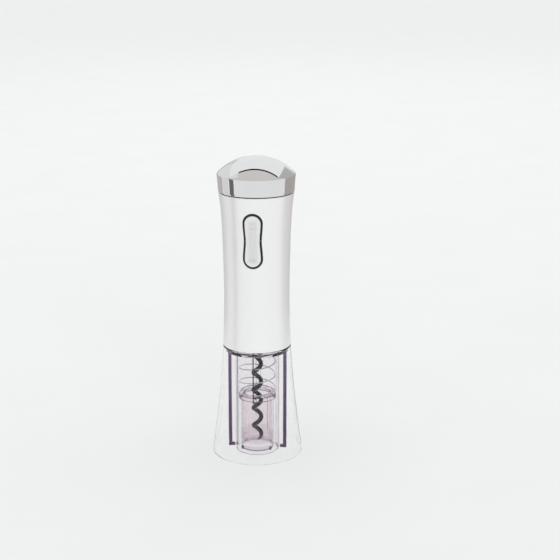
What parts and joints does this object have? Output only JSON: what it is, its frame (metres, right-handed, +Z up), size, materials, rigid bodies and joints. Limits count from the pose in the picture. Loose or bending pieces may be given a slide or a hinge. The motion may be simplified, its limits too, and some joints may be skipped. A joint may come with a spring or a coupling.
{
  "type": "electric wine opener",
  "caption": "Cordless electric corkscrew standing on a clear flared skirt, with a waisted pearl body, rocker button, chrome domed cap and a geared worm.",
  "frame": {"origin": "on the surface it stands on, under the axis of the worm", "axes": "+Z up along the worm; the rocker button faces -Y and the charging inlet faces +Y; the guide tube fins point to +X and -X"},
  "size_m": [0.0734, 0.0734, 0.2444],
  "materials": {
    "pearl_body": "pearl-white satin paint",
    "chrome_cap": "mirror-bright plated metal",
    "clear_skirt": "clear polished plastic",
    "lilac_clear": "clear plastic with a slight violet tint",
    "seal": "soft black",
    "spring_wire": "drawn wire",
    "worm_coating": "black low-friction coating",
    "dark_trim": "black, fine grain",
    "silver_button": "silver-grey paint",
    "frame_plastic": "moulded grey",
    "fastener": "zinc-plated",
    "gear_steel": "machined",
    "gear_plastic": "natural acetal",
    "circuit_board": "green solder mask",
    "components": "moulded packages",
    "cell_wrap": "shrink-wrapped cell",
    "nickel": "nickel strip",
    "motor_steel": "zinc-plated drawn steel",
    "magnet": "ferrite",
    "brass": "plain",
    "red_wire": "insulation",
    "black_wire": "insulation"
  },
  "bodies": {
    "housing": {"base_screws": "fastener", "battery_base": "frame_plastic", "battery_cell_1": "cell_wrap", "battery_cell_2": "cell_wrap", "battery_cell_3": "cell_wrap", "battery_cell_4": "cell_wrap", "battery_clamp": "frame_plastic", "battery_lead_black": "black_wire", "battery_lead_red": "red_wire", "body_sleeve": "pearl_body", "bottom_plate": "dark_trim", "button_bezel": "dark_trim", "cap_gasket": "seal", "cap_screws": "fastener", "cap_seat": "frame_plastic", "cell_links": "nickel", "charge_jack": "dark_trim", "chassis_front": "frame_plastic", "chassis_rear": "frame_plastic", "chassis_screws": "fastener", "control_board": "circuit_board", "control_parts": "components", "down_switch": "components", "gearbox_screws": "fastener", "motor_can": "motor_steel", "motor_endbell": "dark_trim", "motor_lead_black": "black_wire", "motor_lead_red": "red_wire", "motor_magnets": "magnet", "motor_plate": "gear_steel", "motor_screws": "fastener", "motor_terminals": "brass", "output_bush": "brass", "output_plate": "gear_steel", "ring_gear": "gear_plastic", "rocker_pin": "fastener", "switch_board": "circuit_board", "top_cap": "chrome_cap", "up_switch": "components"},
    "base": {"flared_skirt": "clear_skirt", "guide_tube": "lilac_clear", "sleeve_spring": "spring_wire"},
    "sleeve": {"cork_sleeve": "lilac_clear"},
    "button": {"rocker_button": "silver_button"},
    "motor_rotor": {"motor_shaft": "gear_steel", "motor_pinion": "brass", "motor_armature": "motor_steel"},
    "first_stage": {"first_carrier": "gear_steel"},
    "worm_drive": {"output_carrier": "gear_steel", "worm_hub": "gear_steel", "hub_set_screw": "fastener", "worm": "worm_coating"},
    "first_gear_1": {"first_planet_1": "gear_plastic"},
    "first_gear_2": {"first_planet_2": "gear_plastic"},
    "first_gear_3": {"first_planet_3": "gear_plastic"},
    "second_gear_1": {"second_planet_1": "gear_plastic"},
    "second_gear_2": {"second_planet_2": "gear_plastic"},
    "second_gear_3": {"second_planet_3": "gear_plastic"}
  },
  "joints": [
    {"name": "base_twist", "type": "hinge", "parent": "housing", "child": "base", "pos_m": [0, 0, 0.0914], "axis": [0, 0, 1], "range_deg": [0, 20]},
    {"name": "sleeve_slide", "type": "slide", "parent": "base", "child": "sleeve", "axis": [0, 0, 1], "range_m": [0, 0.034], "stiffness_N_per_m": 40, "deforming": ["sleeve_spring"]},
    {"name": "rocker_tilt", "type": "hinge", "parent": "housing", "child": "button", "pos_m": [0, -0.0238, 0.1824], "axis": [1, 0, 0], "range_deg": [-3, 3], "stiffness_Nm_per_rad": 0.6},
    {"name": "motor_spin", "type": "hinge", "parent": "housing", "child": "motor_rotor", "pos_m": [0, 0, 0.145], "axis": [0, 0, 1], "continuous": true},
    {"name": "first_carrier_spin", "type": "hinge", "parent": "housing", "child": "first_stage", "pos_m": [0, 0, 0.117], "axis": [0, 0, 1], "continuous": true},
    {"name": "worm_spin", "type": "hinge", "parent": "housing", "child": "worm_drive", "pos_m": [0, 0, 0.1], "axis": [0, 0, 1], "continuous": true},
    {"name": "first_gear_1_spin", "type": "hinge", "parent": "first_stage", "child": "first_gear_1", "pos_m": [0.00937, 0, 0.1216], "axis": [0, 0, 1], "continuous": true},
    {"name": "first_gear_2_spin", "type": "hinge", "parent": "first_stage", "child": "first_gear_2", "pos_m": [-0.00469, 0.00812, 0.1216], "axis": [0, 0, 1], "continuous": true},
    {"name": "first_gear_3_spin", "type": "hinge", "parent": "first_stage", "child": "first_gear_3", "pos_m": [-0.00469, -0.00812, 0.1216], "axis": [0, 0, 1], "continuous": true},
    {"name": "second_gear_1_spin", "type": "hinge", "parent": "worm_drive", "child": "second_gear_1", "pos_m": [0.00937, 0, 0.1124], "axis": [0, 0, 1], "continuous": true},
    {"name": "second_gear_2_spin", "type": "hinge", "parent": "worm_drive", "child": "second_gear_2", "pos_m": [-0.00469, 0.00812, 0.1124], "axis": [0, 0, 1], "continuous": true},
    {"name": "second_gear_3_spin", "type": "hinge", "parent": "worm_drive", "child": "second_gear_3", "pos_m": [-0.00469, -0.00812, 0.1124], "axis": [0, 0, 1], "continuous": true}
  ],
  "couplings": [
    {"joint": "first_carrier_spin", "follows": "motor_spin", "ratio": 0.2},
    {"joint": "worm_spin", "follows": "motor_spin", "ratio": 0.04},
    {"joint": "first_gear_1_spin", "follows": "motor_spin", "ratio": -0.53333},
    {"joint": "first_gear_2_spin", "follows": "motor_spin", "ratio": -0.53333},
    {"joint": "first_gear_3_spin", "follows": "motor_spin", "ratio": -0.53333},
    {"joint": "second_gear_1_spin", "follows": "motor_spin", "ratio": -0.10667},
    {"joint": "second_gear_2_spin", "follows": "motor_spin", "ratio": -0.10667},
    {"joint": "second_gear_3_spin", "follows": "motor_spin", "ratio": -0.10667}
  ]
}
